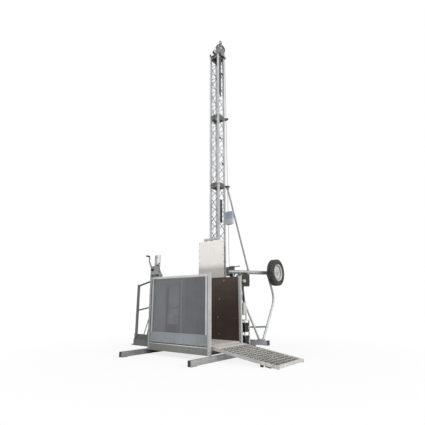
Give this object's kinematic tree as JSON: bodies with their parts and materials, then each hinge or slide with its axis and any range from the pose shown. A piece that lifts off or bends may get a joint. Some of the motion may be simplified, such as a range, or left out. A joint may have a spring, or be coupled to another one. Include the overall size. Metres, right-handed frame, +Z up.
{
  "type": "material hoist",
  "caption": "Mast hoist for building sites: a railed platform with ramp and bridge climbs a lattice mast by wire rope.",
  "frame": {"origin": "on the ground, on the mast axis", "axes": "+Z up along the mast, +X along the platform towards the ramp, +Y from the platform to the road wheels"},
  "size_m": [3.0647, 2.911, 6.941],
  "materials": {
    "galvanised_steel": "dull galvanised",
    "bright_post_steel": "bright galvanised",
    "dark_collar_paint": "dark olive paint",
    "mesh_wire": "woven wire",
    "plywood": "film-faced, dark brown",
    "floor_board": "pale worn board",
    "guard_sheet": "pale sheet",
    "box_paint": "blue-grey paint",
    "cabinet_paint": "grey paint",
    "motor_paint": "cream paint",
    "dark_steel": "dark oiled",
    "rope_wire": "stranded wire",
    "rim_paint": "pale rim",
    "tyre_rubber": "worn rubber",
    "black_plastic": "matt black",
    "buffer_rubber": "matt rubber",
    "bare_pin": "bright turned steel"
  },
  "bodies": {
    "base": {"base_frame": "galvanised_steel", "outrigger_sleeves": "galvanised_steel", "base_rails": "galvanised_steel", "rear_beam": "galvanised_steel", "landing_buffers": "buffer_rubber", "mast_section_1": "galvanised_steel", "mast_section_2": "galvanised_steel", "mast_section_3": "galvanised_steel", "mast_section_4": "galvanised_steel", "mast_collars": "dark_collar_paint", "mast_head": "dark_collar_paint", "pulley_pins": "bare_pin", "switch_box": "box_paint", "limit_cam": "black_plastic", "hoist_rope_run": "rope_wire", "hoist_rope_fall": "rope_wire", "wheel_arms": "galvanised_steel", "mast_stays": "galvanised_steel", "bow_tubes": "galvanised_steel", "rear_struts": "galvanised_steel", "winch_housing": "dark_collar_paint", "winch_motor": "motor_paint", "winch_hanger": "galvanised_steel", "pulley_bracket": "dark_steel", "equipment_rack": "guard_sheet", "equipment_units": "black_plastic", "control_cabinet": "cabinet_paint", "motor_cable": "black_plastic", "cable_channel": "cabinet_paint"},
    "platform": {"platform_floor": "floor_board", "floor_beams": "galvanised_steel", "platform_posts": "bright_post_steel", "front_top_rail": "galvanised_steel", "front_mesh": "mesh_wire", "kick_plate": "galvanised_steel", "plywood_wall": "plywood", "guard_plate": "guard_sheet", "carriage_rails": "galvanised_steel", "carriage_ties": "galvanised_steel", "hinge_rods": "galvanised_steel", "hand_winch_bracket": "galvanised_steel"},
    "upper_rollers": {"upper_guide_rollers": "black_plastic"},
    "lower_rollers": {"lower_guide_rollers": "black_plastic"},
    "drum": {"winch_drum": "dark_steel", "drum_rope": "rope_wire"},
    "front_wheel": {"front_sheave": "dark_steel"},
    "rear_wheel": {"rear_sheave": "dark_steel"},
    "guide_wheel": {"guide_pulley": "dark_steel"},
    "brake_lever": {"brake_release_lever": "dark_steel"},
    "left_beam": {"left_outrigger": "galvanised_steel"},
    "right_beam": {"right_outrigger": "galvanised_steel"},
    "left_road_wheel": {"left_rim": "rim_paint", "left_tyre": "tyre_rubber"},
    "right_road_wheel": {"right_rim": "rim_paint", "right_tyre": "tyre_rubber"},
    "ramp": {"loading_ramp": "galvanised_steel"},
    "bridge": {"bridge_deck": "galvanised_steel", "bridge_guards": "galvanised_steel"},
    "crank": {"hand_crank": "dark_steel", "crank_grip": "black_plastic"}
  },
  "joints": [
    {"name": "platform_lift", "type": "slide", "parent": "base", "child": "platform", "axis": [0, 0, 1], "range_m": [0, 4], "deforming": ["hoist_rope_fall"]},
    {"name": "upper_roller_spin", "type": "hinge", "parent": "platform", "child": "upper_rollers", "pos_m": [0, -0.0507, 1.75], "axis": [1, 0, 0], "continuous": true},
    {"name": "lower_roller_spin", "type": "hinge", "parent": "platform", "child": "lower_rollers", "pos_m": [0, -0.1553, 0.45], "axis": [1, 0, 0], "continuous": true},
    {"name": "front_sheave_spin", "type": "hinge", "parent": "base", "child": "front_wheel", "pos_m": [0.01582, -0.12545, 6.56], "axis": [0.9093, -0.4162, 0], "continuous": true},
    {"name": "rear_sheave_spin", "type": "hinge", "parent": "base", "child": "rear_wheel", "pos_m": [0.08422, 0.02398, 6.721], "axis": [0.9093, -0.4162, 0], "continuous": true},
    {"name": "guide_pulley_spin", "type": "hinge", "parent": "base", "child": "guide_wheel", "pos_m": [0.15292, 0.2777, 1.45], "axis": [0.8355, -0.5494, 0], "continuous": true},
    {"name": "drum_spin", "type": "hinge", "parent": "base", "child": "drum", "pos_m": [0.2705, 0.4565, 1.33], "axis": [0.8355, -0.5494, 0], "continuous": true},
    {"name": "brake_lever_lift", "type": "hinge", "parent": "base", "child": "brake_lever", "pos_m": [0.16061, 0.2894, 1.59], "axis": [0.8355, -0.5494, 0], "range_deg": [0, 20]},
    {"name": "left_outrigger_slide", "type": "slide", "parent": "base", "child": "left_beam", "axis": [0, 1, 0], "range_m": [0, 0.6]},
    {"name": "right_outrigger_slide", "type": "slide", "parent": "base", "child": "right_beam", "axis": [0, 1, 0], "range_m": [0, 0.6]},
    {"name": "left_wheel_spin", "type": "hinge", "parent": "base", "child": "left_road_wheel", "pos_m": [-0.8, 0.936, 1.488], "axis": [1, 0, 0], "continuous": true},
    {"name": "right_wheel_spin", "type": "hinge", "parent": "base", "child": "right_road_wheel", "pos_m": [0.8, 0.936, 1.488], "axis": [1, 0, 0], "continuous": true},
    {"name": "ramp_hinge", "type": "hinge", "parent": "platform", "child": "ramp", "pos_m": [0.7, -0.698, 0.2], "axis": [0, -1, 0], "range_deg": [0, 98]},
    {"name": "bridge_hinge", "type": "hinge", "parent": "platform", "child": "bridge", "pos_m": [-0.7, -0.698, 0.235], "axis": [0, 1, 0], "range_deg": [0, 90]},
    {"name": "crank_turn", "type": "hinge", "parent": "platform", "child": "crank", "pos_m": [-0.63, -1.139, 1.47], "axis": [0, 1, 0], "continuous": true}
  ],
  "couplings": [
    {"joint": "upper_roller_spin", "follows": "platform_lift", "rad_per_m": 28.571},
    {"joint": "lower_roller_spin", "follows": "platform_lift", "rad_per_m": -28.571},
    {"joint": "front_sheave_spin", "follows": "platform_lift", "rad_per_m": -26.316},
    {"joint": "rear_sheave_spin", "follows": "platform_lift", "rad_per_m": -9.0909},
    {"joint": "guide_pulley_spin", "follows": "platform_lift", "rad_per_m": 16.667},
    {"joint": "drum_spin", "follows": "platform_lift", "rad_per_m": -16.667}
  ]
}
